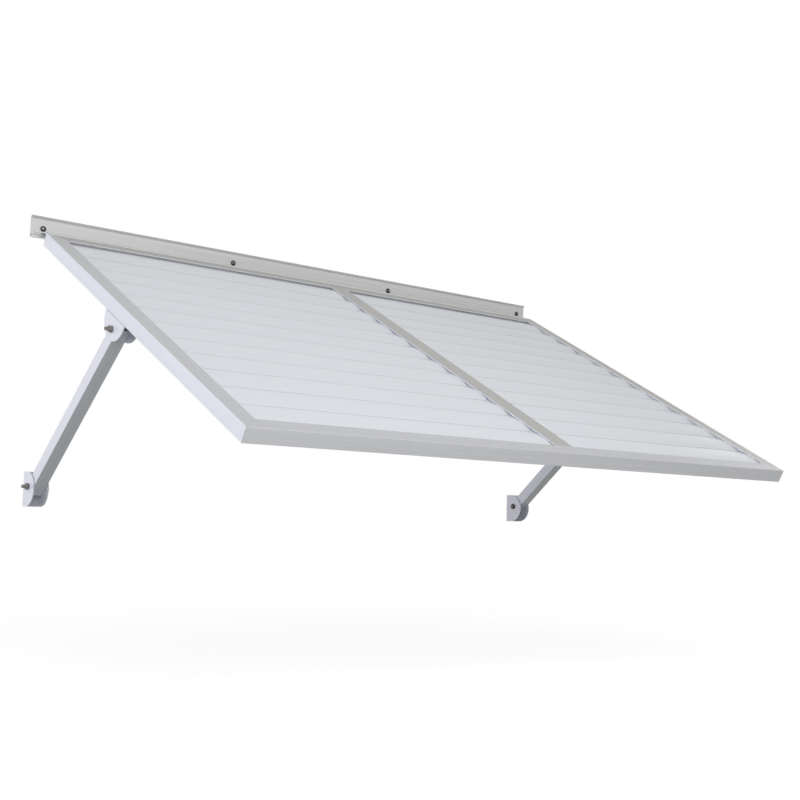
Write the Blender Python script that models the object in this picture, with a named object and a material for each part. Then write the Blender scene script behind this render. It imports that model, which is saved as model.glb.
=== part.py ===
# Slatted aluminium awning on a wall rail, held up by two struts.
# Metres, +Z up. The wall is the plane Y = 0 and the awning reaches out along -Y.
# The origin is the middle of the wall rail's back face.
# The roof is modelled flat under an empty on its hinge axis, which is then tilted to the slope.

import math

import bmesh
import bpy
from mathutils import Matrix, Vector

# Roof
ROOF_WIDTH = 1.500
ROOF_LENGTH = 0.980
SLOPE = math.radians(28.5)
CLEARANCE = 0.0003

# Frame members, all cut from one hollow section with a groove for the slats
MEMBER_WIDTH = 0.036
MEMBER_DEPTH = 0.030
MEMBER_WALL = 0.002
MEMBER_ROUNDING = 0.0010
GROOVE_LIP = 0.0024
GROOVE_DEPTH = 0.005
GROOVE_END_GAP = 0.0008
CLEAT_LEG = 0.070

# Bar between the two panels of slats
BAR_WIDTH = 0.048
BAR_OFFSET = 0.026

# Slats
SLATS_PER_PANEL = 12
SLAT_THICKNESS = 0.0135
SLAT_CROWN = 0.0040
SLAT_WALL = 0.0012
PANEL_END_GAP = 0.0008
SLAT_SEAM = 0.0015
TONGUE_REACH = 0.0055
TONGUE_THICKNESS = 0.0016
TONGUE_CLEARANCE = 0.0003
CROWN_STEPS = 10

# Hook on the back member, which turns on the rail's bead
HINGE_REACH = 0.033
HINGE_DROP = 0.0145
HOOK_THICKNESS = 0.0025
HOOK_TIP_ANGLE = math.radians(236)
HOOK_STEPS = 12
HOOK_END_SETBACK = 0.0022

# Wall rail
RAIL_OVERHANG = 0.0185
RAIL_THICKNESS = 0.0025
RAIL_PLATE_HEIGHT = 0.0435
RAIL_LIP_OUT = 0.0045
RAIL_LIP_UP = 0.0050
BEAD_RADIUS = 0.0035
BEAD_STANDOFF = 0.0120
BEAD_HEIGHT = 0.0076
BEAD_WEB = 0.0025
BEAD_STEPS = 16
RAIL_SCREW_INSET = 0.029
RAIL_SCREW_HEIGHT = 0.0225
RAIL_SCREWS = 4

# Struts
STRUT_SIZE = 0.029
STRUT_WALL = 0.002
STRUT_CENTRES = 0.480
STRUT_END = 0.012
STRUT_STATION = 0.429

# Clevis brackets at both ends of a strut
EAR_THICKNESS = 0.0025
BRACKET_BASE = 0.003
UPPER_HALF_LENGTH = 0.0475
UPPER_DEPTH = 0.0475
UPPER_BOLT_DROP = 0.0246
LOWER_HALF_LENGTH = 0.038
LOWER_DEPTH = 0.057
LOWER_BOLT_DROP = 0.028
LOWER_BOLT_RISE = 0.005
EAR_STEPS = 24
UPPER_SCREW_SPACING = 0.070
LOWER_SCREW_SPACING = 0.046

# Fasteners
BOLT_DIAMETER = 0.008
BOLT_LENGTH = 0.050
HEX_ACROSS_FLATS = 0.013
BOLT_HEAD_HEIGHT = 0.0053
NUT_HEIGHT = 0.0065
SCREW_DIAMETER = 0.006
SCREW_HEAD_DIAMETER = 0.012
SCREW_HEAD_HEIGHT = 0.0036
RAIL_SCREW_LENGTH = 0.040
BRACKET_SCREW_DIAMETER = 0.005
BRACKET_SCREW_HEAD_DIAMETER = 0.010
BRACKET_SCREW_HEAD_HEIGHT = 0.0028
BRACKET_SCREW_LENGTH = 0.012
HOLE_CLEARANCE = 0.0003
ROUND_STEPS = 24
SCREW_STEPS = 16

# What follows from them
SLAT_TOP = GROOVE_LIP + CLEARANCE
SLAT_VALLEY = SLAT_TOP + SLAT_CROWN
SLAT_BOTTOM = SLAT_TOP + SLAT_THICKNESS
GROOVE_BOTTOM = SLAT_BOTTOM + CLEARANCE
GROOVE_REACH = GROOVE_DEPTH - GROOVE_END_GAP
OPENING_LENGTH = ROOF_LENGTH - 2 * MEMBER_WIDTH
SLAT_PITCH = (OPENING_LENGTH - 2 * PANEL_END_GAP) / SLATS_PER_PANEL
CLEVIS_WIDTH = STRUT_SIZE + 2 * CLEARANCE + 2 * EAR_THICKNESS
STRUT_X = ROOF_WIDTH / 2 - CLEVIS_WIDTH / 2
HOOK_BORE = BEAD_RADIUS + CLEARANCE
HOOK_RADIUS = HOOK_BORE + HOOK_THICKNESS
RAIL_HEIGHT = RAIL_PLATE_HEIGHT + RAIL_LIP_UP
RAIL_BOTTOM = -RAIL_HEIGHT / 2
HINGE_Y = -BEAD_STANDOFF
HINGE_Z = RAIL_BOTTOM + BEAD_HEIGHT
RAIL_LENGTH = ROOF_WIDTH + 2 * RAIL_OVERHANG


def clear_scene():
    for obj in list(bpy.data.objects):
        bpy.data.objects.remove(obj, do_unlink=True)


def new_material(name, color, roughness, metallic):
    material = bpy.data.materials.new(name)
    material.use_nodes = True
    shader = material.node_tree.nodes["Principled BSDF"]
    shader.inputs["Base Color"].default_value = (*color, 1)
    shader.inputs["Roughness"].default_value = roughness
    shader.inputs["Metallic"].default_value = metallic
    return material


def new_empty(name, location, rotation_x=0, parent=None):
    empty = bpy.data.objects.new(name, None)
    bpy.context.scene.collection.objects.link(empty)
    empty.location = location
    empty.rotation_euler = (rotation_x, 0, 0)
    empty.parent = parent
    return empty


def new_object(name, mesh, material, parent=None, location=(0, 0, 0), rotation=(0, 0, 0)):
    obj = bpy.data.objects.new(name, mesh)
    bpy.context.scene.collection.objects.link(obj)
    if material is not None and not mesh.materials:
        mesh.materials.append(material)
    obj.parent = parent
    obj.location = location
    obj.rotation_euler = rotation
    return obj


def finished_mesh(name, bm, smooth=False):
    bmesh.ops.recalc_face_normals(bm, faces=bm.faces)
    mesh = bpy.data.meshes.new(name)
    bm.to_mesh(mesh)
    bm.free()
    if smooth:
        mesh.shade_smooth()
        mesh.set_sharp_from_angle(angle=math.radians(35))
    return mesh


def arc(centre, radius, first, last, steps):
    """Points from angle first to angle last, both included."""
    turn = (last - first) / steps
    return [
        (
            centre[0] + radius * math.cos(first + turn * k),
            centre[1] + radius * math.sin(first + turn * k),
        )
        for k in range(steps + 1)
    ]


def rounded(loop, radius, steps=3):
    """The loop with each right-angled corner turned into a short arc."""
    soft = []
    for k, corner in enumerate(loop):
        here = Vector(corner)
        before = (Vector(loop[k - 1]) - here).normalized()
        after = (Vector(loop[(k + 1) % len(loop)]) - here).normalized()
        centre = here + (before + after) * radius
        for step in range(steps + 1):
            angle = math.pi / 2 * step / steps
            soft.append(tuple(centre - after * radius * math.cos(angle) - before * radius * math.sin(angle)))
    return soft


def section_bmesh(loops, start, end):
    """A solid run of a section. Loops hold (y, z) points: the outline first, then any hollows."""
    bm = bmesh.new()
    edges = []
    for loop in loops:
        verts = [bm.verts.new((start, y, z)) for y, z in loop]
        edges += [bm.edges.new((verts[k - 1], verts[k])) for k in range(len(verts))]
    bmesh.ops.triangle_fill(bm, use_beauty=True, edges=edges)
    made = bmesh.ops.extrude_face_region(bm, geom=bm.faces[:])
    moved = [item for item in made["geom"] if isinstance(item, bmesh.types.BMVert)]
    bmesh.ops.translate(bm, verts=moved, vec=(end - start, 0, 0))
    return bm


def lofted_bmesh(rings, closed=False):
    """Rings with equal numbers of points, joined in turn. A closed loft ends where it began."""
    bm = bmesh.new()
    rows = [[bm.verts.new(point) for point in ring] for ring in rings]
    count = len(rows[0])
    last = len(rows) if closed else len(rows) - 1
    for k in range(last):
        near, far = rows[k], rows[(k + 1) % len(rows)]
        for side in range(count):
            after = (side + 1) % count
            bm.faces.new((near[side], near[after], far[after], far[side]))
    if not closed:
        bm.faces.new(rows[0])
        bm.faces.new(rows[-1])
    return bm


def circle_ring(x, radius, steps):
    return [(x, y, z) for y, z in arc((0, 0), radius, 0, 2 * math.pi, steps)[:-1]]


def hexagon_ring(x, across_flats, steps):
    """A hexagon with as many points as the circle that it is joined to."""
    ring = []
    for k in range(steps):
        angle = 2 * math.pi * k / steps
        from_flat = (angle + math.pi / 6) % (math.pi / 3) - math.pi / 6
        radius = across_flats / 2 / math.cos(from_flat)
        ring.append((x, radius * math.cos(angle), radius * math.sin(angle)))
    return ring


def box_into(bm, low, high):
    size = Vector(high) - Vector(low)
    middle = (Vector(high) + Vector(low)) / 2
    bmesh.ops.create_cube(bm, size=1, matrix=Matrix.Translation(middle) @ Matrix.Diagonal((*size, 1)))


def rod_into(bm, centre, radius, length, axis, steps=ROUND_STEPS):
    turn = Vector((0, 0, 1)).rotation_difference(Vector(axis)).to_matrix().to_4x4()
    bmesh.ops.create_cone(
        bm,
        cap_ends=True,
        segments=steps,
        radius1=radius,
        radius2=radius,
        depth=length,
        matrix=Matrix.Translation(centre) @ turn,
    )


def add_boolean(obj, name, bm, operation="DIFFERENCE"):
    """Cuts the shapes in bm out of the object, or joins them to it. They share its place."""
    helper = new_object(name, finished_mesh(name, bm), None, obj)
    helper.hide_render = True
    helper.display_type = "WIRE"
    modifier = obj.modifiers.new(name, "BOOLEAN")
    modifier.operation = operation
    modifier.solver = "EXACT"
    modifier.object = helper


# Frame


def member_loops():
    """The frame section: y runs from the outer face (0) inwards (negative), z down from the top face."""
    groove = MEMBER_WIDTH - GROOVE_DEPTH
    outline = rounded(
        [
            (0, 0),
            (0, -MEMBER_DEPTH),
            (-MEMBER_WIDTH, -MEMBER_DEPTH),
            (-MEMBER_WIDTH, 0),
        ],
        MEMBER_ROUNDING,
    )
    notch = [
        (-MEMBER_WIDTH, -GROOVE_BOTTOM),
        (-groove, -GROOVE_BOTTOM),
        (-groove, -GROOVE_LIP),
        (-MEMBER_WIDTH, -GROOVE_LIP),
    ]
    # The inner side is the run between the third and the fourth rounded corner.
    inner_side = 3 * len(outline) // 4
    outline[inner_side:inner_side] = notch
    wall = MEMBER_WALL
    hollow = [
        (-wall, -wall),
        (-wall, wall - MEMBER_DEPTH),
        (wall - MEMBER_WIDTH, wall - MEMBER_DEPTH),
        (wall - MEMBER_WIDTH, -GROOVE_BOTTOM - wall),
        (wall - groove, -GROOVE_BOTTOM - wall),
        (wall - groove, -wall),
    ]
    return [outline, hollow]


def mitred_member(name, length, material, parent, location, turn):
    """A frame member whose two ends are cut at 45 degrees, along its own X axis."""
    bm = section_bmesh(member_loops(), -length / 2, length / 2)
    setback = CLEARANCE / math.sqrt(2)
    for vert in bm.verts:
        vert.co.x -= math.copysign(-vert.co.y + setback, vert.co.x)
    return new_object(name, finished_mesh(name, bm), material, parent, location, (0, 0, turn))


def hook_loop():
    """The arm and hook behind the back member, in the back member's own section axes."""
    axis = Vector((HINGE_REACH, -HINGE_DROP))
    middle = HOOK_BORE + HOOK_THICKNESS / 2
    root = Vector((-MEMBER_WALL / 2, -HOOK_THICKNESS / 2 - CLEARANCE))
    to_root = root - axis
    lean = math.atan2(to_root.y, -to_root.x) - math.asin(middle / to_root.length)
    # Angles are counted from the down-slope direction, which is -Y here.
    start = math.pi / 2 + lean

    def place(radius, angle):
        return (axis.x - radius * math.cos(angle), axis.y + radius * math.sin(angle))

    turn = (HOOK_TIP_ANGLE - start) / HOOK_STEPS
    outer = [place(HOOK_RADIUS, start + turn * k) for k in range(HOOK_STEPS + 1)]
    inner = [place(HOOK_BORE, start + turn * k) for k in range(HOOK_STEPS + 1)]
    across = Vector((math.sin(lean), math.cos(lean))) * HOOK_THICKNESS / 2
    upper = tuple(root + across)
    lower = tuple(root - across)
    return [upper, *outer, *reversed(inner), lower]


def build_frame(metal, parent):
    """Four mitred members, with their outer top edges on the roof's outline."""
    middle = -HINGE_REACH - ROOF_LENGTH / 2
    half_turn = math.pi
    quarter = math.pi / 2
    back = mitred_member(
        "frame_back", ROOF_WIDTH, metal, parent, (0, -HINGE_REACH, HINGE_DROP), 0
    )
    hook_end = ROOF_WIDTH / 2 - HOOK_END_SETBACK
    add_boolean(back, "hook_shape", section_bmesh([hook_loop()], -hook_end, hook_end), "UNION")
    front = (0, -HINGE_REACH - ROOF_LENGTH, HINGE_DROP)
    mitred_member("frame_front", ROOF_WIDTH, metal, parent, front, half_turn)
    for name, side in (("frame_left", -1), ("frame_right", 1)):
        place = (side * ROOF_WIDTH / 2, middle, HINGE_DROP)
        member = mitred_member(name, ROOF_LENGTH, metal, parent, place, -side * quarter)
        # The member's own X axis runs up the slope on the left and down it on the right.
        station = -side * (ROOF_LENGTH / 2 - STRUT_STATION)
        cutter = bmesh.new()
        for offset in (-UPPER_SCREW_SPACING / 2, UPPER_SCREW_SPACING / 2):
            rod_into(
                cutter,
                (station + offset, -CLEVIS_WIDTH / 2, -MEMBER_DEPTH),
                BRACKET_SCREW_DIAMETER / 2 + HOLE_CLEARANCE,
                4 * MEMBER_WALL,
                (0, 0, 1),
                SCREW_STEPS,
            )
        add_boolean(member, name + "_screw_holes", cutter)


def build_cleats(metal, parent):
    """Angle pieces that slide into the members' outer hollows and hold the mitres together."""
    edge = MEMBER_WALL + CLEARANCE
    inner = MEMBER_WIDTH - GROOVE_DEPTH - MEMBER_WALL - CLEARANCE
    loop = [
        (edge, -edge),
        (CLEAT_LEG, -edge),
        (CLEAT_LEG, -inner),
        (inner, -inner),
        (inner, -CLEAT_LEG),
        (edge, -CLEAT_LEG),
    ]
    # The outline lies in plan, so the run along X is turned to run down.
    bm = section_bmesh([loop], edge, MEMBER_DEPTH - edge)
    for vert in bm.verts:
        vert.co = Vector((vert.co.y, vert.co.z, -vert.co.x))
    mesh = finished_mesh("corner_cleat", bm)
    corners = (
        ("corner_cleat_back_left", -1, 0, 0),
        ("corner_cleat_back_right", 1, 0, -math.pi / 2),
        ("corner_cleat_front_right", 1, 1, math.pi),
        ("corner_cleat_front_left", -1, 1, math.pi / 2),
    )
    for name, side, end, turn in corners:
        place = (side * ROOF_WIDTH / 2, -HINGE_REACH - end * ROOF_LENGTH, HINGE_DROP)
        new_object(name, mesh, metal, parent, place, (0, 0, turn))


def build_bar(metal, parent):
    """The bar between the panels, grooved on both sides and coped at its ends to enter the frame."""
    half = BAR_WIDTH / 2
    core = half - GROOVE_DEPTH
    wall = MEMBER_WALL
    right = [
        (core, -GROOVE_LIP),
        (core, -GROOVE_BOTTOM),
        (half, -GROOVE_BOTTOM),
        (half, -MEMBER_DEPTH),
    ]
    outline = [(-half, 0), (half, 0), (half, -GROOVE_LIP), *right]
    outline += [(-x, z) for x, z in reversed(right)] + [(-half, -GROOVE_LIP)]
    side = [
        (core - wall, -wall),
        (core - wall, -GROOVE_BOTTOM - wall),
        (half - wall, -GROOVE_BOTTOM - wall),
        (half - wall, wall - MEMBER_DEPTH),
    ]
    hollow = side + [(-x, z) for x, z in reversed(side)]
    reach = OPENING_LENGTH / 2 + GROOVE_REACH
    bar_place = (BAR_OFFSET, -HINGE_REACH - ROOF_LENGTH / 2, HINGE_DROP)
    bm = section_bmesh([outline, hollow], -reach, reach)
    bar = new_object(
        "centre_bar", finished_mesh("centre_bar", bm), metal, parent, bar_place, (0, 0, math.pi / 2)
    )
    shoulder = OPENING_LENGTH / 2 - CLEARANCE
    beyond = 2 * CLEARANCE
    cutter = bmesh.new()
    for sign in (-1, 1):
        ends = sorted((sign * shoulder, sign * (reach + beyond)))
        box_into(
            cutter,
            (ends[0], -half - beyond, -GROOVE_LIP - CLEARANCE),
            (ends[1], half + beyond, beyond),
        )
        box_into(
            cutter,
            (ends[0], -half - beyond, -MEMBER_DEPTH - beyond),
            (ends[1], half + beyond, CLEARANCE - GROOVE_BOTTOM),
        )
    add_boolean(bar, "bar_cope", cutter)


# Slats


def slat_loops():
    """One hollow slat's section: y runs down the slope (negative), z down from the roof's top."""
    back = SLAT_SEAM / 2
    front = SLAT_PITCH - SLAT_SEAM / 2
    chord = front - back
    radius = chord**2 / (8 * SLAT_CROWN) + SLAT_CROWN / 2
    middle = (back + front) / 2

    def crown(s, sink=0.0):
        rise = math.sqrt((radius - sink) ** 2 - (s - middle) ** 2)
        return SLAT_TOP + radius - rise

    tongue_top = SLAT_BOTTOM - SLAT_WALL - TONGUE_CLEARANCE - TONGUE_THICKNESS
    tongue_bottom = tongue_top + TONGUE_THICKNESS
    pocket_top = tongue_top - TONGUE_CLEARANCE
    pocket_bottom = tongue_bottom + TONGUE_CLEARANCE
    pocket = front - TONGUE_REACH
    tongue = back - TONGUE_REACH + TONGUE_CLEARANCE + SLAT_SEAM - CLEARANCE
    top = [(back + chord * k / CROWN_STEPS) for k in range(CROWN_STEPS + 1)]
    outline = [(s, crown(s)) for s in top]
    outline += [
        (front, pocket_top),
        (pocket, pocket_top),
        (pocket, pocket_bottom),
        (front, pocket_bottom),
        (front, SLAT_BOTTOM),
        (back, SLAT_BOTTOM),
        (back, tongue_bottom),
        (tongue, tongue_bottom),
        (tongue, tongue_top),
        (back, tongue_top),
    ]
    left = back + SLAT_WALL
    right = pocket - SLAT_WALL
    inside = [left + (right - left) * k / CROWN_STEPS for k in range(CROWN_STEPS + 1)]
    hollow = [(s, crown(s, SLAT_WALL)) for s in inside]
    hollow += [(right, SLAT_BOTTOM - SLAT_WALL), (left, SLAT_BOTTOM - SLAT_WALL)]
    return [[(-s, -d) for s, d in loop] for loop in (outline, hollow)]


def build_slats(metal, parent):
    bar_left = BAR_OFFSET - BAR_WIDTH / 2
    bar_right = BAR_OFFSET + BAR_WIDTH / 2
    inner = ROOF_WIDTH / 2 - MEMBER_WIDTH
    for panel, start, end in (("left", -inner, bar_left), ("right", bar_right, inner)):
        first = start - GROOVE_REACH
        length = end + GROOVE_REACH - first
        name = f"{panel}_slat"
        mesh = finished_mesh(name, section_bmesh(slat_loops(), 0, length), smooth=True)
        for k in range(SLATS_PER_PANEL):
            down = MEMBER_WIDTH + PANEL_END_GAP + k * SLAT_PITCH
            place = (first, -HINGE_REACH - down, HINGE_DROP)
            new_object(f"{name}_{k + 1:02d}", mesh, metal, parent, place)


# Wall rail


def rail_loop():
    """The rail's section: y out from the wall (negative), z up from the rail's lower edge."""
    web = BEAD_WEB / 2
    open_angle = math.asin(web / BEAD_RADIUS)
    down = -math.pi / 2
    bead = arc(
        (BEAD_STANDOFF, BEAD_HEIGHT),
        BEAD_RADIUS,
        down + open_angle,
        down - open_angle + 2 * math.pi,
        BEAD_STEPS,
    )
    lip = Vector((RAIL_LIP_OUT, RAIL_LIP_UP))
    across = Vector((-lip.y, lip.x)).normalized() * RAIL_THICKNESS
    crease = Vector((RAIL_THICKNESS, RAIL_PLATE_HEIGHT))
    tip = crease + lip
    back_tip = tip + across
    # The lip's upper face meets the wall face where it has run back to the wall.
    back_crease = (0, back_tip.y - back_tip.x * lip.y / lip.x)
    loop = [
        (0, 0),
        (BEAD_STANDOFF + web, 0),
        *bead,
        (BEAD_STANDOFF - web, RAIL_THICKNESS),
        (RAIL_THICKNESS, RAIL_THICKNESS),
        tuple(crease),
        tuple(tip),
        tuple(back_tip),
        back_crease,
    ]
    return [(-out, up) for out, up in loop]


def rail_screw_stations():
    span = RAIL_LENGTH - 2 * RAIL_SCREW_INSET
    return [-span / 2 + span * k / (RAIL_SCREWS - 1) for k in range(RAIL_SCREWS)]


def build_rail(metal):
    bm = section_bmesh([rail_loop()], -RAIL_LENGTH / 2, RAIL_LENGTH / 2)
    mesh = finished_mesh("wall_rail", bm, smooth=True)
    rail = new_object("wall_rail", mesh, metal, None, (0, 0, RAIL_BOTTOM))
    cutter = bmesh.new()
    for x in rail_screw_stations():
        rod_into(
            cutter,
            (x, 0, RAIL_SCREW_HEIGHT),
            SCREW_DIAMETER / 2 + HOLE_CLEARANCE,
            4 * RAIL_THICKNESS,
            (0, 1, 0),
            SCREW_STEPS,
        )
    add_boolean(rail, "rail_screw_holes", cutter)


# Struts and brackets


def ear_loop(half_length, depth, bolt_drop):
    """An ear's outline round the bolt axis, with its straight side on the base."""
    straight = depth - half_length
    round_centre = (0, bolt_drop - straight)
    curve = arc(round_centre, half_length, math.pi, 2 * math.pi, EAR_STEPS)
    if straight < CLEARANCE:
        return curve
    return [(-half_length, bolt_drop), *curve, (half_length, bolt_drop)]


def clevis(name, ear, screws, metal, parent, location, turn):
    """A folded clevis with its origin on the bolt axis, bolt_drop under its base and off its middle."""
    half_length, depth, bolt_drop, off_middle = ear
    screw_diameter, screw_spacing = screws
    loop = [(y + off_middle, z) for y, z in ear_loop(half_length, depth, bolt_drop)]
    bm = section_bmesh([loop], -CLEVIS_WIDTH / 2, CLEVIS_WIDTH / 2)
    bracket = new_object(name, finished_mesh(name, bm, smooth=True), metal, parent, location, (turn, 0, 0))
    slot = STRUT_SIZE / 2 + CLEARANCE
    beyond = depth + half_length
    cutter = bmesh.new()
    box_into(cutter, (-slot, -beyond, -beyond), (slot, beyond, bolt_drop - BRACKET_BASE))
    add_boolean(bracket, name + "_slot", cutter)
    holes = bmesh.new()
    rod_into(holes, (0, 0, 0), BOLT_DIAMETER / 2 + HOLE_CLEARANCE, 2 * CLEVIS_WIDTH, (1, 0, 0))
    for offset in (-screw_spacing / 2, screw_spacing / 2):
        rod_into(
            holes,
            (0, off_middle + offset, bolt_drop),
            screw_diameter / 2 + HOLE_CLEARANCE,
            4 * BRACKET_BASE,
            (0, 0, 1),
            SCREW_STEPS,
        )
    add_boolean(bracket, name + "_holes", holes)


def build_strut(name, metal, parent, location, turn):
    """A square tube. Its origin is on the upper bolt axis and it runs down its own Z axis."""
    half = STRUT_SIZE / 2
    inner = half - STRUT_WALL
    outline = rounded([(-half, -half), (-half, half), (half, half), (half, -half)], MEMBER_ROUNDING)
    hollow = [(-inner, -inner), (-inner, inner), (inner, inner), (inner, -inner)]
    bm = section_bmesh([outline, hollow], -STRUT_END, STRUT_CENTRES + STRUT_END)
    for vert in bm.verts:
        vert.co = Vector((vert.co.y, vert.co.z, -vert.co.x))
    strut = new_object(name, finished_mesh(name, bm), metal, parent, location, (turn, 0, 0))
    cutter = bmesh.new()
    for z in (0, -STRUT_CENTRES):
        rod_into(cutter, (0, 0, z), BOLT_DIAMETER / 2 + HOLE_CLEARANCE, 2 * STRUT_SIZE, (1, 0, 0))
    add_boolean(strut, name + "_bolt_holes", cutter)
    return strut


# Fasteners


def bolt_mesh():
    """A hexagon bolt along +X, with the underside of its head at the origin."""
    edge = HEX_ACROSS_FLATS / 20
    radius = BOLT_DIAMETER / 2
    rings = [
        hexagon_ring(-BOLT_HEAD_HEIGHT, HEX_ACROSS_FLATS - 2 * edge, ROUND_STEPS),
        hexagon_ring(edge - BOLT_HEAD_HEIGHT, HEX_ACROSS_FLATS, ROUND_STEPS),
        hexagon_ring(0, HEX_ACROSS_FLATS, ROUND_STEPS),
        circle_ring(0, radius, ROUND_STEPS),
        circle_ring(BOLT_LENGTH - edge, radius, ROUND_STEPS),
        circle_ring(BOLT_LENGTH, radius - edge, ROUND_STEPS),
    ]
    return finished_mesh("pivot_bolt", lofted_bmesh(rings), smooth=True)


def nut_mesh():
    """A hexagon nut along +X, with its bearing face at the origin."""
    bore = BOLT_DIAMETER / 2 + HOLE_CLEARANCE
    edge = HEX_ACROSS_FLATS / 20
    rings = [
        hexagon_ring(0, HEX_ACROSS_FLATS, ROUND_STEPS),
        hexagon_ring(NUT_HEIGHT - edge, HEX_ACROSS_FLATS, ROUND_STEPS),
        hexagon_ring(NUT_HEIGHT, HEX_ACROSS_FLATS - 2 * edge, ROUND_STEPS),
        circle_ring(NUT_HEIGHT, bore, ROUND_STEPS),
        circle_ring(0, bore, ROUND_STEPS),
    ]
    return finished_mesh("pivot_nut", lofted_bmesh(rings, closed=True), smooth=True)


def screw_mesh(name, diameter, head_diameter, head_height, length):
    """A pan-head screw along +X, with the underside of its head at the origin."""
    radius = diameter / 2
    dome = 3
    rings = []
    for k in range(dome):
        angle = math.pi / 2 * (k + 1) / dome
        x = -head_height * math.cos(angle) * 0.6 - head_height * 0.4
        rings.append(circle_ring(x, head_diameter / 2 * math.sin(angle), SCREW_STEPS))
    rings.append(circle_ring(0, head_diameter / 2, SCREW_STEPS))
    rings.append(circle_ring(0, radius, SCREW_STEPS))
    rings.append(circle_ring(length - 2 * radius, radius, SCREW_STEPS))
    rings.append(circle_ring(length, radius / 3, SCREW_STEPS))
    return finished_mesh(name, lofted_bmesh(rings), smooth=True)


def build_pivot(name, side, bolt, nut, metal, parent, location):
    """A bolt through a clevis, with its head on the inner ear and its nut on the outer one."""
    face = CLEVIS_WIDTH / 2 + CLEARANCE
    outward = 0 if side > 0 else math.pi
    x, y, z = location
    bolt_place = (x - side * face, y, z)
    nut_place = (x + side * face, y, z)
    new_object(f"{name}_bolt", bolt, metal, parent, bolt_place, (0, 0, outward))
    new_object(f"{name}_nut", nut, metal, parent, nut_place, (0, 0, outward))


def build_rail_screws(mesh, metal):
    for k, x in enumerate(rail_screw_stations()):
        place = (x, -RAIL_THICKNESS - CLEARANCE, RAIL_BOTTOM + RAIL_SCREW_HEIGHT)
        new_object(f"rail_screw_{k + 1}", mesh, metal, None, place, (0, 0, math.pi / 2))


def build_awning():
    clear_scene()
    frame_paint = new_material("frame_paint", (0.72, 0.73, 0.77), 0.35, 0.0)
    slat_paint = new_material("slat_paint", (0.78, 0.80, 0.83), 0.40, 0.0)
    steel = new_material("stainless_steel", (0.42, 0.40, 0.37), 0.30, 1.0)
    plain = new_material("plain_aluminium", (0.66, 0.67, 0.69), 0.45, 1.0)

    roof = new_empty("roof_pivot", (0, HINGE_Y, HINGE_Z), SLOPE)
    rail_screw = screw_mesh(
        "rail_screw", SCREW_DIAMETER, SCREW_HEAD_DIAMETER, SCREW_HEAD_HEIGHT, RAIL_SCREW_LENGTH
    )
    build_rail(frame_paint)
    build_rail_screws(rail_screw, steel)
    build_frame(frame_paint, roof)
    build_cleats(plain, roof)
    build_bar(frame_paint, roof)
    build_slats(slat_paint, roof)

    bolt, nut = bolt_mesh(), nut_mesh()
    bracket_screw = screw_mesh(
        "bracket_screw",
        BRACKET_SCREW_DIAMETER,
        BRACKET_SCREW_HEAD_DIAMETER,
        BRACKET_SCREW_HEAD_HEIGHT,
        BRACKET_SCREW_LENGTH,
    )
    underside = HINGE_DROP - MEMBER_DEPTH - CLEARANCE
    upper_y = -HINGE_REACH - STRUT_STATION
    upper_z = underside - UPPER_BOLT_DROP
    # The strut reaches from the upper bolt to the height at which the lower bolt meets the wall bracket.
    upper = Matrix.Rotation(SLOPE, 3, "X") @ Vector((0, upper_y, upper_z)) + Vector((0, HINGE_Y, HINGE_Z))
    back = -LOWER_BOLT_DROP - upper.y
    lower_z = upper.z - math.sqrt(STRUT_CENTRES**2 - back**2)
    lean = math.atan2(back, upper.z - lower_z)
    for name, side in (("left", -1), ("right", 1)):
        x = side * STRUT_X
        ear = (UPPER_HALF_LENGTH, UPPER_DEPTH, UPPER_BOLT_DROP, 0)
        screws = (BRACKET_SCREW_DIAMETER, UPPER_SCREW_SPACING)
        clevis(f"upper_bracket_{name}", ear, screws, frame_paint, roof, (x, upper_y, upper_z), 0)
        build_pivot(f"upper_{name}", side, bolt, nut, steel, roof, (x, upper_y, upper_z))
        for k, offset in enumerate((UPPER_SCREW_SPACING / 2, -UPPER_SCREW_SPACING / 2)):
            place = (x, upper_y + offset, underside - BRACKET_BASE - CLEARANCE)
            screw_name = f"bracket_screw_{name}_{k + 1}"
            new_object(screw_name, bracket_screw, steel, roof, place, (0, -math.pi / 2, 0))
        build_strut(f"strut_{name}", frame_paint, roof, (x, upper_y, upper_z), lean - SLOPE)
        wall_pivot = new_empty(f"wall_pivot_{name}", (x, -LOWER_BOLT_DROP, lower_z))
        ear = (LOWER_HALF_LENGTH, LOWER_DEPTH, LOWER_BOLT_DROP, LOWER_BOLT_RISE)
        screws = (SCREW_DIAMETER, LOWER_SCREW_SPACING)
        clevis(f"wall_bracket_{name}", ear, screws, frame_paint, wall_pivot, (0, 0, 0), -math.pi / 2)
        build_pivot(f"lower_{name}", side, bolt, nut, steel, wall_pivot, (0, 0, 0))


build_awning()
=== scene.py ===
import math

import bmesh
import bpy
from mathutils import Matrix, Vector


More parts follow.
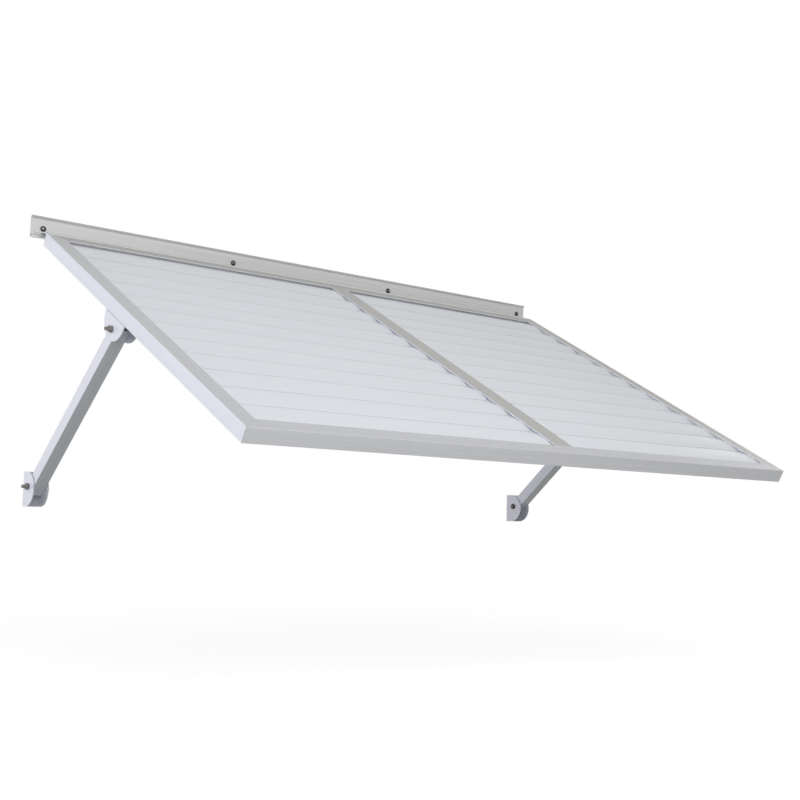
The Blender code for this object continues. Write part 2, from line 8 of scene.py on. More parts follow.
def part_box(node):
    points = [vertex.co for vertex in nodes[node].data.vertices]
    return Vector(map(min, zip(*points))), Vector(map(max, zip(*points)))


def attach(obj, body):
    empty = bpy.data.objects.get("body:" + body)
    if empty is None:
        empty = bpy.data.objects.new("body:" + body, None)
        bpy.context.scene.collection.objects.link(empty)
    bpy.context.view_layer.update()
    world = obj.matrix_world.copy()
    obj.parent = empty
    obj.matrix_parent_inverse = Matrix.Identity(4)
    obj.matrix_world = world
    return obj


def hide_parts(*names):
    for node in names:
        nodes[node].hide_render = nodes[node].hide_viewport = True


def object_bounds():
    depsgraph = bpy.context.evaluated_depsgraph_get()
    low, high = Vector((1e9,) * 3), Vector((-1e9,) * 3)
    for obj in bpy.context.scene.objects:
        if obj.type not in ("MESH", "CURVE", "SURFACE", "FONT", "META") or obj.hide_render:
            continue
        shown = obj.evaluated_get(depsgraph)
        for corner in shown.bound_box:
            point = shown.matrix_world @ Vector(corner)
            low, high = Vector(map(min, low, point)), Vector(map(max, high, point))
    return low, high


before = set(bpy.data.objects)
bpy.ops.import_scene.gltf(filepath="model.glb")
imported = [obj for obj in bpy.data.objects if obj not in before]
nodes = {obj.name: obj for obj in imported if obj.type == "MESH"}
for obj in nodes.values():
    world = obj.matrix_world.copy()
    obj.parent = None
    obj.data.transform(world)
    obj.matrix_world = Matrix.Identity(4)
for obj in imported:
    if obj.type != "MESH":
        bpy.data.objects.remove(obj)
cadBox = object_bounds()
print("frame loaded")

roofSlope = math.radians(28.5)
roofUp = Vector((0, -math.sin(roofSlope), math.cos(roofSlope)))
downRoof = Vector((0, -math.cos(roofSlope), -math.sin(roofSlope)))
towardLeft = Vector((-1, 0, 0))
acrossRoof = Vector((1, 0, 0))


def middleOf(node):
    low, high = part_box(node)
    return (low + high) / 2


alongStrut = (middleOf("upper_left_bolt") - middleOf("lower_left_bolt")).normalized()


# Shader writing

# where nearly all of a noise's values lie, and its middle
noiseSpan = {"low": 0.3, "high": 0.7, "middle": 0.5}


class Wire:
    # one shader socket, so that maths on it reads as plain Python

    def __init__(self, paint, socket):
        self.paint = paint
        self.socket = socket

    def maths(self, operation, first, second):
        return self.paint.node("ShaderNodeMath", {"operation": operation}, {0: first, 1: second})

    def __add__(self, other):
        return self.maths("ADD", self, other)

    def __sub__(self, other):
        return self.maths("SUBTRACT", self, other)

    def __rsub__(self, other):
        return self.maths("SUBTRACT", other, self)

    def __mul__(self, other):
        return self.maths("MULTIPLY", self, other)

    def __pow__(self, other):
        return self.maths("POWER", self, other)

    def __abs__(self):
        return self.paint.node("ShaderNodeMath", {"operation": "ABSOLUTE"}, {0: self})

    __radd__ = __add__
    __rmul__ = __mul__


class Paint:
    # a node tree that is written line by line

    def __init__(self, tree):
        self.tree = tree

    def node(self, kind, settings=None, sockets=None, output=0):
        # settings come first, since some of them change which sockets a node has
        made = self.tree.nodes.new(kind)
        for name, value in (settings or {}).items():
            setattr(made, name, value)
        for name, value in (sockets or {}).items():
            self.feed(made.inputs[name], value)
        return Wire(self, made.outputs[output])

    def feed(self, socket, value):
        if isinstance(value, Wire):
            self.tree.links.new(value.socket, socket)
        elif isinstance(value, (tuple, list)) and len(value) == 3 and socket.type == "RGBA":
            socket.default_value = (*value, 1)
        else:
            socket.default_value = value

    def blend(self, amount, first, second, kind="MIX"):
        # two colours mixed by an amount from 0 to 1, in the Mix node's colour sockets
        settings = {"data_type": "RGBA", "blend_type": kind}
        return self.node("ShaderNodeMix", settings, {0: amount, 6: first, 7: second}, output=2)

    def shaded(self, color, shade):
        # a colour made darker by a factor that varies
        grey = self.node("ShaderNodeCombineColor", {}, {0: shade, 1: shade, 2: shade})
        return self.blend(1.0, color, grey, "MULTIPLY")

    def place(self):
        return self.node("ShaderNodeTexCoord", output="Object")

    def mapped(self, where, turn=(0, 0, 0), scale=(1, 1, 1)):
        sockets = {"Vector": where, "Rotation": turn, "Scale": scale}
        return self.node("ShaderNodeMapping", {}, sockets)

    def part(self, where, axis):
        return self.node("ShaderNodeSeparateXYZ", {}, {"Vector": where}, axis.upper())

    def noise(self, where, scale, detail=2.0, roughness=0.5):
        sockets = {"Vector": where, "Scale": scale, "Detail": detail, "Roughness": roughness}
        return self.node("ShaderNodeTexNoise", {}, sockets)

    def remap(self, value, low, high, newLow=0.0, newHigh=1.0):
        sockets = {0: value, 1: low, 2: high, 3: newLow, 4: newHigh}
        return self.node("ShaderNodeMapRange", {"clamp": True}, sockets)

    def shadeBy(self, noise, share):
        # a factor that follows a noise between 1 - share and 1
        return self.remap(noise, noiseSpan["low"], noiseSpan["high"], 1 - share, 1.0)

    def bump(self, height, strength):
        sockets = {"Height": height, "Distance": 1.0, "Strength": strength}
        return self.node("ShaderNodeBump", {}, sockets)

    def facing(self, direction):
        # how far a face looks along a direction, from 0 to 1
        normal = self.node("ShaderNodeTexCoord", output="Normal")
        sockets = {0: normal, 1: tuple(direction)}
        cosine = self.node("ShaderNodeVectorMath", {"operation": "DOT_PRODUCT"}, sockets, "Value")
        return self.remap(cosine, 0.0, 1.0)


def startMaterial(name):
    material = bpy.data.materials.new(name)
    material.use_nodes = True
    tree = material.node_tree
    return material, Paint(tree), tree.nodes["Principled BSDF"]


def alongGrain(paint, grain):
    # places on the object with x running along the extrusion, for die lines
    turn = grain.rotation_difference(Vector((1, 0, 0))).to_euler()
    return paint.mapped(paint.place(), tuple(turn))


def drawnOut(paint, where, along, across, detail, roughness):
    # a noise drawn out into lines, with its density along them and across them
    stretched = paint.mapped(where, scale=(along, across, across))
    return paint.noise(stretched, 1.0, detail, roughness)


def setCoat(shader, look):
    shader.inputs["Metallic"].default_value = look["metallic"]
    shader.inputs["Coat Weight"].default_value = look["coat"]
    shader.inputs["Coat Roughness"].default_value = look["coatRoughness"]


# Finishes

# painted light and shade on the coat: faces looking left take a lighter, lit colour and faces
# looking up the roof a darker, shaded one; other faces keep the front colour
frameFinish = {
    "frontColor": (0.725, 0.737, 0.765),
    "leftLitColor": (0.820, 0.828, 0.925),
    "topShadeColor": (0.438, 0.446, 0.468),
    "turnPower": 2.0,  # how sharply one painted lit or shaded colour turns into the next at an edge
    "roughness": 0.38,
    "patchRoughness": 0.12,
    "lineRoughness": 0.10,
    "metallic": 0.06,
    "coat": 0.12,
    "coatRoughness": 0.25,
    "patches": 5.0,
    "patchShade": 0.035,
    "wideLines": 170,
    "wideAlong": 1.2,
    "wideLineShade": 0.050,
    "fineLines": 620,
    "fineAlong": 3.0,
    "fineLineShade": 0.035,
    "lineDepth": 0.00002,
    "peel": 900.0,
    "peelDepth": 0.00001,
    "bump": 0.6,
}
brushed = {**frameFinish, "wideLineShade": 0.10, "fineLineShade": 0.07, "wideLines": 300}
# copies of one coat, each with painted shade of its own: darker painted tops on the back member,
# bar and right member, and darker painted fronts on the rail, struts and brackets
backFinish = {**brushed, "topShadeColor": (0.345, 0.344, 0.335)}
barFinish = {**brushed, "topShadeColor": (0.358, 0.354, 0.340)}
railFinish = {**brushed, "frontColor": (0.665, 0.668, 0.672)}
rightFinish = {**frameFinish, "topShadeColor": (0.345, 0.340, 0.320)}
strutFinish = {**frameFinish, "frontColor": (0.600, 0.628, 0.658)}

# a bright painted highlight runs along the back member, just in front of the rail
paintedHighlight = {"middle": -0.047, "core": 0.0054, "edge": 0.009, "color": (0.85, 0.85, 0.84)}

slatFinish = {
    "color": (0.626, 0.654, 0.694),
    "roughness": 0.36,
    "patchRoughness": 0.14,
    "metallic": 0.05,
    "coat": 0.12,
    "coatRoughness": 0.25,
    "patches": 3.0,
    "patchShade": 0.020,
    "lines": 150,
    "along": 0.8,
    "lineShade": 0.030,
    "lineDepth": 0.00002,
    "peel": 800.0,
    "peelDepth": 0.00001,
    "bump": 0.6,
}

steelFinish = {
    # the head's painted reflection: dark rim, light middle
    "rimDarkReflection": (0.045, 0.043, 0.040),
    "centreHighlight": (0.400, 0.385, 0.360),
    "shankColor": (0.240, 0.228, 0.212),
    "centreRadius": 0.0014,
    "rimRadius": 0.0034,
    "headEnd": (-0.0002, 0.0),  # along the axis, where the head's colours give way
    "smudges": 260.0,
    "smudgeSpan": (0.35, 0.6),
    "tarnish": 0.55,
    "scratches": (300, 2600, 900),
    "scratchDepth": 0.00003,
    "roughness": 0.30,
    "scratchRoughness": 0.25,
    "bump": 0.5,
}

millFinish = {
    "color": (0.66, 0.67, 0.69),
    "darkShare": 0.85,
    "lines": (500, 500, 4),
    "lineDepth": 0.00006,
    "roughness": 0.42,
    "lineRoughness": 0.2,
    "bump": 0.5,
}


def coatedFrame(name, grain, look, line=None):
    material, paint, shader = startMaterial(name)
    where = alongGrain(paint, grain)
    wide = drawnOut(paint, where, look["wideAlong"], look["wideLines"], 2.0, 0.5)
    fine = drawnOut(paint, where, look["fineAlong"], look["fineLines"], 2.0, 0.6)
    patches = paint.noise(where, look["patches"], 3.0, 0.55)
    peel = paint.noise(where, look["peel"], 1.0, 0.5)
    # painted light and shade: upward faces turn to the darker top colour, left faces to the
    # lighter, lit left colour
    topShade = paint.facing(roofUp) ** look["turnPower"]
    leftLight = paint.facing(towardLeft) ** look["turnPower"]
    color = paint.blend(topShade, look["frontColor"], look["topShadeColor"])
    color = paint.blend(leftLight, color, look["leftLitColor"])
    # painted highlight: a bright strip along the member at a set distance
    if line:
        offset = abs(paint.part(paint.place(), "y") - line["middle"])
        color = paint.blend(paint.remap(offset, line["core"], line["edge"]), line["color"], color)
    shade = paint.shadeBy(patches, look["patchShade"])
    shade = shade * paint.shadeBy(wide, look["wideLineShade"])
    shade = shade * paint.shadeBy(fine, look["fineLineShade"])
    paint.feed(shader.inputs["Base Color"], paint.shaded(color, shade))
    rough = look["roughness"] + (patches - noiseSpan["middle"]) * look["patchRoughness"]
    rough = rough + (wide - noiseSpan["middle"]) * look["lineRoughness"]
    paint.feed(shader.inputs["Roughness"], rough)
    setCoat(shader, look)
    height = fine * look["lineDepth"] + peel * look["peelDepth"]
    paint.feed(shader.inputs["Normal"], paint.bump(height, look["bump"]))
    return material


def coatedSlat(name, look=slatFinish):
    material, paint, shader = startMaterial(name)
    where = alongGrain(paint, acrossRoof)
    rollLines = drawnOut(paint, where, look["along"], look["lines"], 3.0, 0.6)
    patches = paint.noise(where, look["patches"], 3.0, 0.5)
    peel = paint.noise(where, look["peel"], 1.0, 0.5)
    shade = paint.shadeBy(patches, look["patchShade"])
    shade = shade * paint.shadeBy(rollLines, look["lineShade"])
    paint.feed(shader.inputs["Base Color"], paint.shaded(look["color"], shade))
    rough = look["roughness"] + (patches - noiseSpan["middle"]) * look["patchRoughness"]
    paint.feed(shader.inputs["Roughness"], rough)
    setCoat(shader, look)
    height = rollLines * look["lineDepth"] + peel * look["peelDepth"]
    paint.feed(shader.inputs["Normal"], paint.bump(height, look["bump"]))
    return material


def darkSteel(name, look=steelFinish):
    # heads get a painted reflection, dark at the rim with a painted highlight in the middle, and
    # shanks and nuts are plainer
    material, paint, shader = startMaterial(name)
    place = paint.place()
    across = paint.part(place, "y")
    along = paint.part(place, "z")
    radius = (across * across + along * along) ** 0.5
    smudge = paint.noise(place, look["smudges"], 3.0, 0.6)
    scratch = paint.noise(paint.mapped(place, scale=look["scratches"]), 1.0, 2.0, 0.6)
    # painted reflection: the head turns from a light middle to a dark rim
    outward = paint.remap(radius, look["centreRadius"], look["rimRadius"])
    color = paint.blend(outward, look["centreHighlight"], look["rimDarkReflection"])
    pastHead = paint.remap(paint.part(place, "x"), *look["headEnd"])
    color = paint.blend(pastHead, color, look["shankColor"])
    color = paint.shaded(color, paint.remap(smudge, *look["smudgeSpan"], look["tarnish"], 1.0))
    paint.feed(shader.inputs["Base Color"], color)
    rough = look["roughness"] + (scratch - noiseSpan["middle"]) * look["scratchRoughness"]
    paint.feed(shader.inputs["Roughness"], rough)
    shader.inputs["Metallic"].default_value = 1.0
    paint.feed(shader.inputs["Normal"], paint.bump(scratch * look["scratchDepth"], look["bump"]))
    return material


def millAluminium(name, look=millFinish):
    material, paint, shader = startMaterial(name)
    grain = paint.noise(paint.mapped(paint.place(), scale=look["lines"]), 1.0, 3.0, 0.6)
    dark = tuple(look["darkShare"] * part for part in look["color"])
    light = paint.remap(grain, noiseSpan["low"], noiseSpan["high"])
    paint.feed(shader.inputs["Base Color"], paint.blend(light, dark, look["color"]))
    rough = look["roughness"] + (grain - noiseSpan["middle"]) * look["lineRoughness"]
    paint.feed(shader.inputs["Roughness"], rough)
    shader.inputs["Metallic"].default_value = 1.0
    paint.feed(shader.inputs["Normal"], paint.bump(grain * look["lineDepth"], look["bump"]))
    return material


frontPaint = coatedFrame("frontMemberCoat", acrossRoof, frameFinish)
leftPaint = coatedFrame("leftMemberCoat", downRoof, frameFinish)
rightPaint = coatedFrame("rightMemberCoat", downRoof, rightFinish)
backPaint = coatedFrame("backMemberCoat", acrossRoof, backFinish, paintedHighlight)
barPaint = coatedFrame("centreBarCoat", downRoof, barFinish)
railPaint = coatedFrame("wallRailCoat", acrossRoof, railFinish)
strutPaint = coatedFrame("strutCoat", alongStrut, strutFinish)
bracketPaint = coatedFrame("bracketCoat", acrossRoof, strutFinish)
slatPaint = coatedSlat("slatCoat")
boltSteel = darkSteel("boltSteel")
cleatMetal = millAluminium("cleatMetal")
print("finishes made")


# The frame's own nodes keep their form, with welded and softened edges

softening = {
    "weld": 0.000005,
    "creaseAngle": math.radians(34),
    "edgeRadius": 0.00035,
    "slatEdge": 0.0002,
    "edgeSteps": 2,
}
slatsInPanel = 12


def softenGroup():
    # joins split corners and shades every edge flatter than the crease angle smooth
    group = bpy.data.node_groups.new("softenedEdges", "GeometryNodeTree")
    group.interface.new_socket("Geometry", in_out="INPUT", socket_type="NodeSocketGeometry")
    group.interface.new_socket("Geometry", in_out="OUTPUT", socket_type="NodeSocketGeometry")
    start = group.nodes.new("NodeGroupInput")
    end = group.nodes.new("NodeGroupOutput")
    strip = group.nodes.new("GeometryNodeRemoveAttribute")
    strip.inputs["Name"].default_value = "custom_normal"
    weld = group.nodes.new("GeometryNodeMergeByDistance")
    weld.inputs["Distance"].default_value = softening["weld"]
    faces = group.nodes.new("GeometryNodeSetShadeSmooth")
    faces.domain = "FACE"
    edges = group.nodes.new("GeometryNodeSetShadeSmooth")
    edges.domain = "EDGE"
    edges.inputs["Shade Smooth"].default_value = False
    angle = group.nodes.new("GeometryNodeInputMeshEdgeAngle")
    sharp = group.nodes.new("FunctionNodeCompare")
    sharp.operation = "GREATER_THAN"
    sharp.inputs[1].default_value = softening["creaseAngle"]
    join = group.links.new
    join(start.outputs[0], strip.inputs[0])
    join(strip.outputs[0], weld.inputs["Geometry"])
    join(weld.outputs["Geometry"], faces.inputs["Geometry"])
    join(faces.outputs["Geometry"], edges.inputs["Geometry"])
    join(angle.outputs["Unsigned Angle"], sharp.inputs[0])
    join(sharp.outputs["Result"], edges.inputs["Selection"])
    join(edges.outputs["Geometry"], end.inputs[0])
    return group


softenedEdges = softenGroup()


def dress(name, material, edgeRadius=softening["edgeRadius"]):
    node = nodes[name]
    node.data.materials.clear()
    node.data.materials.append(material)
    soften = node.modifiers.new("softenedEdges", "NODES")
    soften.node_group = softenedEdges
    bevel = node.modifiers.new("edgeRadius", "BEVEL")
    bevel.width = edgeRadius
    bevel.segments = softening["edgeSteps"]
    bevel.limit_method = "ANGLE"
    bevel.angle_limit = softening["creaseAngle"]
    bevel.use_clamp_overlap = True
    weighted = node.modifiers.new("faceNormals", "WEIGHTED_NORMAL")
    weighted.keep_sharp = True


dress("wall_rail", railPaint)
dress("frame_back", backPaint)
dress("frame_front", frontPaint)
dress("frame_left", leftPaint)
dress("frame_right", rightPaint)
dress("centre_bar", barPaint)
for side in ("left", "right"):
    dress(f"strut_{side}", strutPaint)
    dress(f"wall_bracket_{side}", bracketPaint)
    dress(f"upper_bracket_{side}", bracketPaint)
    for corner in ("back", "front"):
        dress(f"corner_cleat_{corner}_{side}", cleatMetal)
    for number in range(1, slatsInPanel + 1):
        dress(f"{side}_slat_{number:02d}", slatPaint, softening["slatEdge"])
print("frame and slats dressed")


# Fasteners: detailed pieces in place of the plain ones

boltSize = {
    "length": 0.050,
    "across": 0.013,
    "head": 0.0053,
    "radius": 0.004,
    "nut": 0.0065,
    "bore": 0.0043,
}
boltLook = {
    "ringSteps": 48,
    "pitch": 0.00125,
    "threadDepth": 0.00055,
    "threadLength": 0.022,
    "edge": 0.0009,
    "boreEdge": 0.0005,
    "topRound": 0.92,  # this and the next two are shares of half the width across the flats
    "washerRound": 0.96,
    "seatRound": 0.95,
    "headCorners": ((0.35, 1.0), (1.0, 1.12), (1.3, 1.2)),
    "nutCorners": ((0.4, 1.06), (1.0, 1.2)),
}

railScrewSize = {"head": 0.0066, "height": 0.0036, "length": 0.040, "radius": 0.003}
railScrewLook = {"ringSteps": 32, "pitch": 0.0026, "threadDepth": 0.0008, "recess": 0.0034}
railScrewCount = 4

plateScrewSize = {"head": 0.005, "height": 0.0028, "length": 0.012, "radius": 0.0025}
plateScrewLook = {"ringSteps": 28, "pitch": 0.0016, "threadDepth": 0.0005, "recess": 0.0028}

screwShape = {
    "domeSteps": 6,
    "rimHeight": 0.35,  # share of the head's height
    "seatRound": 0.97,  # share of the head's radius
    "plain": 0.006,
    "plainShare": 0.25,  # at most this share of the length has no thread
    "tipSteps": 8,
    "tipLength": 2.2,  # this and the next two are shares of the shank's radius
    "tipTaper": 0.8,
    "tipEnd": 0.12,
}

# the cross recess at its bottom and above the head: reach and width are shares of the recess,
# and the height is one of the head's
crossBottom = {"reach": 0.35, "width": 0.16, "height": 0.35}
crossTop = {"reach": 1.1, "width": 0.24, "height": 1.4}

# how far each fastener is turned on its axis, in radians
fastenerTurn = {"upperBolt": 0.4, "lowerBolt": 1.1, "nut": 0.3, "plateScrew": 0.7, "railScrew": 0.9}

creaseBetweenFaces = math.radians(32)
underHead = 0.0003
rowsPerTurn = 6


def circle(x, radius, steps, ripple=0.0, turn=0.0):
    # a round row of points, which the thread's ripple makes slightly oval
    ring = []
    for k in range(steps):
        share = k / steps
        reach = radius - ripple * abs(((share + turn) % 1.0) * 2 - 1)
        angle = 2 * math.pi * share
        ring.append(Vector((x, reach * math.cos(angle), reach * math.sin(angle))))
    return ring


def hexagon(x, acrossFlats, steps, most):
    # a hexagon whose corners are turned down to a round of the radius most
    ring = []
    for k in range(steps):
        angle = 2 * math.pi * k / steps
        fromFlat = (angle + math.pi / 6) % (math.pi / 3) - math.pi / 6
        reach = min(acrossFlats / 2 / math.cos(fromFlat), most)
        ring.append(Vector((x, reach * math.cos(angle), reach * math.sin(angle))))
    return ring


def shadeEdges(data):
    data.shade_smooth()
    data.set_sharp_from_angle(angle=creaseBetweenFaces)
    return data


def loft(name, rings, material, closed=False):
    mesh = bmesh.new()
    rows = [[mesh.verts.new(point) for point in ring] for ring in rings]
    steps = len(rows[0])
    for k in range(len(rows) if closed else len(rows) - 1):
        near, far = rows[k], rows[(k + 1) % len(rows)]
        for side in range(steps):
            after = (side + 1) % steps
            mesh.faces.new((near[side], near[after], far[after], far[side]))
    if not closed:
        mesh.faces.new(rows[0])
        mesh.faces.new(rows[-1])
    bmesh.ops.recalc_face_normals(mesh, faces=mesh.faces)
    data = bpy.data.meshes.new(name)
    mesh.to_mesh(data)
    mesh.free()
    data.materials.append(material)
    return shadeEdges(data)


def threadRings(start, end, radius, look):
    # rows close enough to carry the helix of the thread
    count = max(2, round((end - start) / look["pitch"] * rowsPerTurn))
    rings = []
    for k in range(count + 1):
        x = start + (end - start) * k / count
        turn = (x / look["pitch"]) % 1.0
        rings.append(circle(x, radius, look["ringSteps"], look["threadDepth"], turn))
    return rings


def boltMesh(size, look):
    steps, edge = look["ringSteps"], look["edge"]
    across, head, radius, length = size["across"], size["head"], size["radius"], size["length"]
    flat = across / 2
    shoulder = length - look["threadLength"]
    rings = [circle(-head, flat * look["topRound"], steps)]
    # each step down is in edges, and its round trims the hexagon's corners
    for depth, trim in look["headCorners"]:
        rings.append(hexagon(-head + edge * depth, across, steps, flat * trim))
    rings += [
        hexagon(-underHead, across, steps, flat * trim),
        circle(-underHead, flat * look["washerRound"], steps),
        circle(0, flat * look["seatRound"], steps),
        circle(0, radius, steps),
        circle(shoulder, radius, steps),
    ]
    rings += threadRings(shoulder + look["threadDepth"], length - edge, radius, look)
    rings.append(circle(length, radius - edge, steps))
    return loft("pivotBolt", rings, boltSteel)


def nutMesh(size, look):
    steps, edge = look["ringSteps"], look["edge"]
    across, height, bore = size["across"], size["nut"], size["bore"]
    flat, chamfer = across / 2, look["boreEdge"]
    rings = [circle(0, flat * look["seatRound"], steps)]
    for depth, trim in look["nutCorners"]:
        rings.append(hexagon(edge * depth, across, steps, flat * trim))
    for depth, trim in reversed(look["nutCorners"]):
        rings.append(hexagon(height - edge * depth, across, steps, flat * trim))
    rings += [
        circle(height, flat * look["seatRound"], steps),
        circle(height, bore + chamfer, steps),
        circle(height - chamfer, bore, steps),
        circle(chamfer, bore, steps),
        circle(0, bore + chamfer, steps),
    ]
    return loft("pivotNut", rings, boltSteel, closed=True)


def crossCutter(headHeight, recess):
    # two tapered bars that cross on the screw's axis
    cutter = bmesh.new()
    for turn in (0, math.pi / 2):
        spin = Matrix.Rotation(turn, 4, "X")
        shape = bmesh.ops.create_cube(cutter, size=1, matrix=spin)
        for corner in shape["verts"]:
            local = spin.inverted() @ corner.co
            end = crossBottom if local.x > 0 else crossTop
            reach = math.copysign(recess * end["reach"], local.y)
            width = math.copysign(recess * end["width"], local.z)
            corner.co = spin @ Vector((-headHeight * end["height"], reach, width))
    bmesh.ops.recalc_face_normals(cutter, faces=cutter.faces)
    data = bpy.data.meshes.new("crossCutter")
    cutter.to_mesh(data)
    cutter.free()
    return data


def cutCross(data, headHeight, recess):
    # a cross recess, pressed into the middle of the head
    piece = bpy.data.objects.new("uncutScrew", data)
    cutter = bpy.data.objects.new("crossCutter", crossCutter(headHeight, recess))
    for helper in (piece, cutter):
        bpy.context.scene.collection.objects.link(helper)
    cut = piece.modifiers.new("cross", "BOOLEAN")
    cut.operation = "DIFFERENCE"
    cut.solver = "EXACT"
    cut.use_self = True
    cut.object = cutter
    bpy.context.view_layer.update()
    evaluated = piece.evaluated_get(bpy.context.evaluated_depsgraph_get())
    finished = bpy.data.meshes.new_from_object(evaluated)
    for helper in (piece, cutter):
        bpy.data.objects.remove(helper, do_unlink=True)
    return shadeEdges(finished)


def screwMesh(name, size, look):
    steps = look["ringSteps"]
    head, height, length, radius = size["head"], size["height"], size["length"], size["radius"]
    domeSteps, tipSteps = screwShape["domeSteps"], screwShape["tipSteps"]
    rim = height * screwShape["rimHeight"]
    plain = min(screwShape["plain"], length * screwShape["plainShare"])
    tipLength = screwShape["tipLength"] * radius
    tip = length - tipLength
    rings = []
    for k in range(1, domeSteps + 1):
        angle = math.pi / 2 * k / domeSteps
        x = -rim - (height - rim) * math.cos(angle)
        rings.append(circle(x, head * math.sin(angle), steps))
    rings += [
        circle(-underHead, head, steps),
        circle(0, head * screwShape["seatRound"], steps),
        circle(0, radius, steps),
        circle(plain, radius, steps),
    ]
    rings += threadRings(plain + look["threadDepth"], tip, radius, look)
    for k in range(1, tipSteps + 1):
        share = k / (tipSteps + 1)
        taper = 1 - share * screwShape["tipTaper"]
        x = tip + tipLength * share
        turn = (x / look["pitch"]) % 1.0
        rings.append(circle(x, radius * taper, steps, look["threadDepth"] * taper, turn))
    rings.append(circle(length, radius * screwShape["tipEnd"], steps))
    return cutCross(loft(name, rings, boltSteel), height, look["recess"])


def placeFastener(name, mesh, node, body, axis, seat, roll):
    # axis points from the head's underside to the tip, and seat is where the head bears
    piece = bpy.data.objects.new(name, mesh)
    bpy.context.scene.collection.objects.link(piece)
    turn = Vector((1, 0, 0)).rotation_difference(axis).to_matrix().to_4x4()
    piece.matrix_world = Matrix.Translation(seat) @ turn @ Matrix.Rotation(roll, 4, "X")
    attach(piece, body)
    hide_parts(node)


def placePivot(level, side, sign, body, roll):
    # the bolt's head is on the inner ear, and its nut on the outer one
    outward = Vector((sign, 0, 0))
    boltNode, nutNode = f"{level}_{side}_bolt", f"{level}_{side}_nut"
    inner = max if sign < 0 else min
    seat = middleOf(boltNode)
    seat.x = inner(corner.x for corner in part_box(boltNode)) + sign * boltSize["head"]
    placeFastener(f"{level}Bolt_{side}", pivotBolt, boltNode, body, outward, seat, roll)
    seat = middleOf(nutNode)
    seat.x = inner(corner.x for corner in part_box(nutNode))
    nutRoll = roll + fastenerTurn["nut"]
    placeFastener(f"{level}Nut_{side}", pivotNut, nutNode, body, outward, seat, nutRoll)


pivotBolt = boltMesh(boltSize, boltLook)
pivotNut = nutMesh(boltSize, boltLook)
railScrew = screwMesh("railScrew", railScrewSize, railScrewLook)
plateScrew = screwMesh("plateScrew", plateScrewSize, plateScrewLook)

for side, sign in (("left", -1), ("right", 1)):
    placePivot("upper", side, sign, "roof", fastenerTurn["upperBolt"])
    placePivot("lower", side, sign, f"{side}_wall_bracket", fastenerTurn["lowerBolt"])
    for number in (1, 2):
        node = f"bracket_screw_{side}_{number}"
        underside = (plateScrewSize["height"] - plateScrewSize["length"]) / 2
        seat = middleOf(node) + roofUp * underside
        roll = fastenerTurn["plateScrew"] * number + sign
        placeFastener(f"plateScrew_{side}_{number}", plateScrew, node, "roof", roofUp, seat, roll)

wallward = Vector((0, 1, 0))
for number in range(1, railScrewCount + 1):
    node = f"rail_screw_{number}"
    seat = middleOf(node)
    seat.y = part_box(node)[0].y + railScrewSize["height"]
    roll = fastenerTurn["railScrew"] * number
    placeFastener(f"railScrew_{number}", railScrew, node, "rail", wallward, seat, roll)
print("fasteners placed")


# Floor, light and camera

studio = {
    "floorHeight": -0.95,
    "floorSize": 40.0,
    "floorColor": (0.30, 0.30, 0.30),
    "shadowShare": 0.36,
    "floorGlow": 0.77,
    "fadeStart": 0.8,
    "fadeEnd": 2.3,
    "skyStrength": 0.37,
    "skyColor": (1.0, 0.985, 0.96),
}

lamps = {
    "leftKey": {
        "place": (-3.2, 0.1, -0.1),
        "aim": (-0.2, -0.4, -0.3),
        "size": 2.8,
        "power": 48.0,
        "color": (0.96, 0.97, 1.0),
    },
    "frontLeft": {
        "place": (-2.2, -3.6, -0.1),
        "aim": (0.0, -0.6, -0.4),
        "size": 2.0,
        "power": 41.0,
        "color": (1.0, 1.0, 1.0),
    },
    "overFront": {
        "place": (-0.4, -2.1, 0.9),
        "aim": (0.0, -0.5, -0.3),
        "size": 1.6,
        "power": 22.0,
        "color": (1.0, 1.0, 1.0),
    },
    "rightFill": {
        "place": (3.2, -0.4, -0.3),
        "aim": (0.2, -0.4, -0.3),
        "size": 2.4,
        "power": 20.0,
        "color": (1.0, 1.0, 1.0),
    },
    "rearFill": {
        "place": (0.6, 3.2, -0.2),
        "aim": (0.0, 0.0, -0.3),
        "size": 2.4,
        "power": 28.0,
        "color": (1.0, 1.0, 1.0),
    },
}

viewpoint = {
    "place": (-1.78452, -2.58239, -0.63632),
    "turn": (95.8196, -1.5108, -39.0862),
    "focalLength": 54.586,
    "sensorWidth": 36.0,
    "nearest": 0.05,
    "farthest": 80.0,
}


def whiteShare(paint):
    # 1 for rays that look at the backdrop directly, in a reflection or through glass
    kinds = ("Camera", "Glossy", "Transmission")
    rays = [paint.node("ShaderNodeLightPath", output=f"Is {kind} Ray") for kind in kinds]
    return paint.remap(rays[0] + rays[1] + rays[2], 0.0, 1.0)


def makeSky():
    world = bpy.data.worlds.new("studioSky")
    world.use_nodes = True
    bpy.context.scene.world = world
    paint = Paint(world.node_tree)
    world.node_tree.nodes.remove(world.node_tree.nodes["Background"])
    soft = {"Color": studio["skyColor"], "Strength": studio["skyStrength"]}
    light = paint.node("ShaderNodeBackground", {}, soft)
    white = paint.node("ShaderNodeBackground", {}, {"Color": (1.0, 1.0, 1.0), "Strength": 1.0})
    seen = paint.node("ShaderNodeMixShader", {}, {0: whiteShare(paint), 1: light, 2: white})
    paint.feed(world.node_tree.nodes["World Output"].inputs["Surface"], seen)


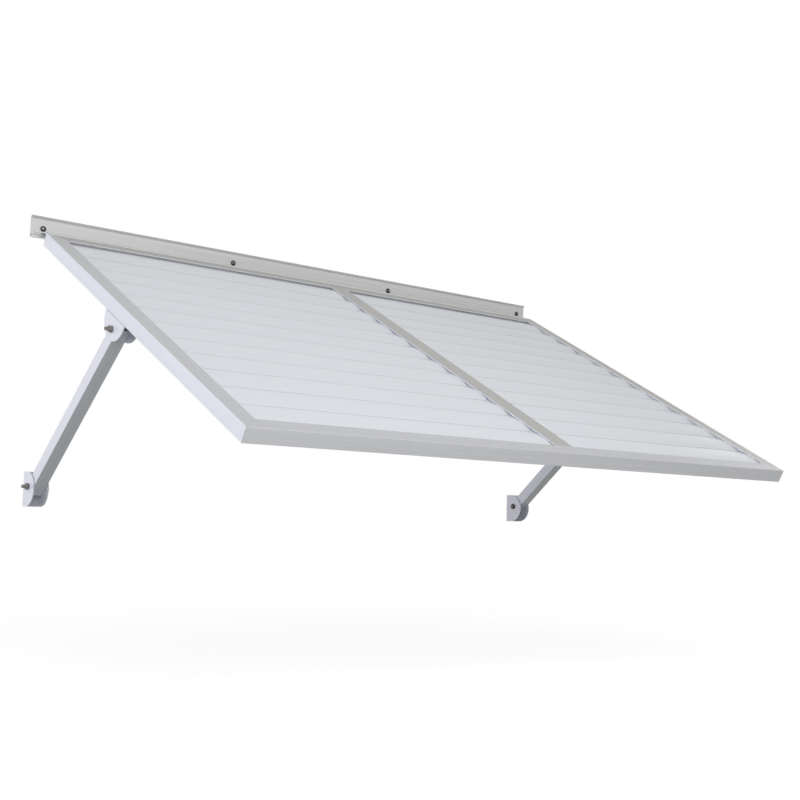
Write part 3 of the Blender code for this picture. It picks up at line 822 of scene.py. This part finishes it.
def makeFloor():
    # white where it is looked at, apart from the shadow near the awning, and clear from below
    material = bpy.data.materials.new("studioFloor")
    material.use_nodes = True
    tree = material.node_tree
    tree.nodes.remove(tree.nodes["Principled BSDF"])
    paint = Paint(tree)
    plain = paint.node("ShaderNodeBsdfDiffuse", {}, {"Color": studio["floorColor"]})
    shadowed = paint.node("ShaderNodeBsdfDiffuse", {}, {"Color": (studio["shadowShare"],) * 3})
    glow = paint.node("ShaderNodeEmission", {}, {"Strength": studio["floorGlow"]})
    white = paint.node("ShaderNodeEmission", {}, {"Strength": 1.0})
    near = paint.node("ShaderNodeAddShader", {}, {0: shadowed, 1: glow})
    sockets = {0: paint.place()}
    distance = paint.node("ShaderNodeVectorMath", {"operation": "LENGTH"}, sockets, "Value")
    away = paint.remap(distance, studio["fadeStart"], studio["fadeEnd"])
    faded = paint.node("ShaderNodeMixShader", {}, {0: away, 1: near, 2: white})
    seen = paint.node("ShaderNodeMixShader", {}, {0: whiteShare(paint), 1: plain, 2: faded})
    underneath = paint.node("ShaderNodeNewGeometry", output="Backfacing")
    clear = paint.node("ShaderNodeBsdfTransparent")
    seen = paint.node("ShaderNodeMixShader", {}, {0: underneath, 1: seen, 2: clear})
    paint.feed(tree.nodes["Material Output"].inputs["Surface"], seen)
    half = studio["floorSize"] / 2
    corners = [(-half, -half, 0), (half, -half, 0), (half, half, 0), (-half, half, 0)]
    data = bpy.data.meshes.new("studioFloor")
    data.from_pydata(corners, [], [(0, 1, 2, 3)])
    data.materials.append(material)
    floor = bpy.data.objects.new("studioFloor", data)
    middle = (cadBox[0] + cadBox[1]) / 2
    floor.location = (middle.x, middle.y, studio["floorHeight"])
    bpy.context.scene.collection.objects.link(floor)


def makeLamps():
    for name, look in lamps.items():
        data = bpy.data.lights.new(name, "AREA")
        data.size = look["size"]
        data.energy = look["power"]
        data.color = look["color"]
        lamp = bpy.data.objects.new(name, data)
        bpy.context.scene.collection.objects.link(lamp)
        lamp.location = look["place"]
        toward = Vector(look["aim"]) - Vector(look["place"])
        lamp.rotation_mode = "QUATERNION"
        lamp.rotation_quaternion = toward.to_track_quat("-Z", "Y")
        lamp.visible_camera = False


def makeCamera():
    data = bpy.data.cameras.new("photoView")
    data.lens = viewpoint["focalLength"]
    data.sensor_width = viewpoint["sensorWidth"]
    data.clip_start = viewpoint["nearest"]
    data.clip_end = viewpoint["farthest"]
    camera = bpy.data.objects.new("photoView", data)
    bpy.context.scene.collection.objects.link(camera)
    camera.location = viewpoint["place"]
    camera.rotation_euler = [math.radians(angle) for angle in viewpoint["turn"]]
    bpy.context.scene.camera = camera


makeSky()
makeFloor()
makeLamps()
makeCamera()
bpy.context.scene.view_settings.view_transform = "Standard"
print("studio ready")
